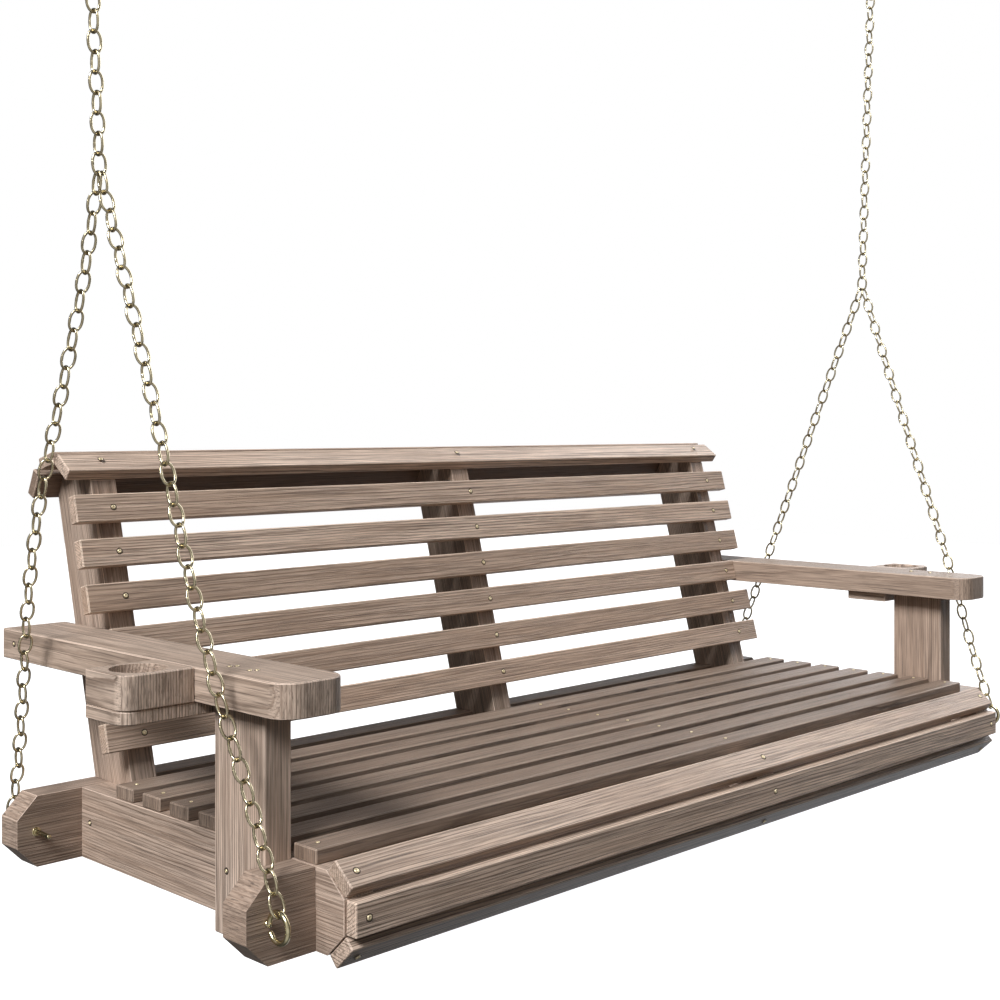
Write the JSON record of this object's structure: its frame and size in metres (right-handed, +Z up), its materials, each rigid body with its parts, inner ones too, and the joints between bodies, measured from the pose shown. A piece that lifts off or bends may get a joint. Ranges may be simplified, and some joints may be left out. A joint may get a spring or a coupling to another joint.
{
  "type": "porch swing seat",
  "caption": "Slatted timber porch swing with a reclined back, armrests with cup holders, and a pair of chain legs each side gathered into one upper chain to a ceiling hook.",
  "frame": {"origin": "on the ceiling plane, midway between the two ceiling hooks", "axes": "+X along the bench to its right-hand end as the camera in front sees it, +Y from the front of the seat to its back, +Z up"},
  "size_m": [1.7393, 0.696, 1.4496],
  "materials": {
    "frame_timber": "weathered taupe stain on softwood, matt",
    "slat_timber": "weathered taupe stain on softwood, matt, visible straight grain",
    "arm_timber": "weathered taupe stain on softwood, matt",
    "chain_metal": "pale yellow zinc plate, satin",
    "fitting_metal": "pale yellow zinc plate, satin"
  },
  "bodies": {
    "ceiling_hooks": {"ceiling_hook_left": "fitting_metal", "ceiling_hook_right": "fitting_metal"},
    "upper_chains": {"upper_chain_left": "chain_metal", "upper_chain_right": "chain_metal"},
    "swing_seat": {"arm_post_left": "frame_timber", "arm_post_right": "frame_timber", "armrest_left": "arm_timber", "armrest_right": "arm_timber", "back_slat_1": "slat_timber", "back_slat_2": "slat_timber", "back_slat_3": "slat_timber", "back_slat_4": "slat_timber", "back_slat_5": "slat_timber", "back_slat_6": "slat_timber", "cap_slat_front": "slat_timber", "cap_slat_rear": "slat_timber", "cap_slat_top": "slat_timber", "cup_holder_left": "arm_timber", "cup_holder_right": "arm_timber", "cup_plate_left": "slat_timber", "cup_plate_right": "slat_timber", "eye_bolt_front_left": "fitting_metal", "eye_bolt_front_right": "fitting_metal", "eye_bolt_rear_left": "fitting_metal", "eye_bolt_rear_right": "fitting_metal", "front_beam": "frame_timber", "junction_link_right": "chain_metal", "leg_chain_front_left": "chain_metal", "leg_chain_front_right": "chain_metal", "leg_chain_rear_left": "chain_metal", "leg_chain_rear_right": "chain_metal", "nose_slat_front": "slat_timber", "nose_slat_lower": "slat_timber", "nose_slat_upper": "slat_timber", "nut_front_left": "fitting_metal", "nut_front_right": "fitting_metal", "nut_rear_left": "fitting_metal", "nut_rear_right": "fitting_metal", "rail_left": "frame_timber", "rail_middle": "frame_timber", "rail_right": "frame_timber", "rear_beam": "frame_timber", "seat_slat_1": "slat_timber", "seat_slat_2": "slat_timber", "seat_slat_3": "slat_timber", "seat_slat_4": "slat_timber", "seat_slat_5": "slat_timber", "seat_slat_6": "slat_timber", "seat_slat_7": "slat_timber", "upright_left": "frame_timber", "upright_middle": "frame_timber", "upright_right": "frame_timber", "washer_front_left": "fitting_metal", "washer_front_right": "fitting_metal", "washer_rear_left": "fitting_metal", "washer_rear_right": "fitting_metal"}
  },
  "joints": [
    {"name": "chain_swing", "type": "hinge", "parent": "ceiling_hooks", "child": "upper_chains", "pos_m": [0, 0, -0.056], "axis": [1, 0, 0], "range_deg": [-25, 25]},
    {"name": "seat_rock", "type": "hinge", "parent": "upper_chains", "child": "swing_seat", "pos_m": [0, -0.00597, -0.6038], "axis": [1, 0, 0], "range_deg": [-15, 15]}
  ]
}
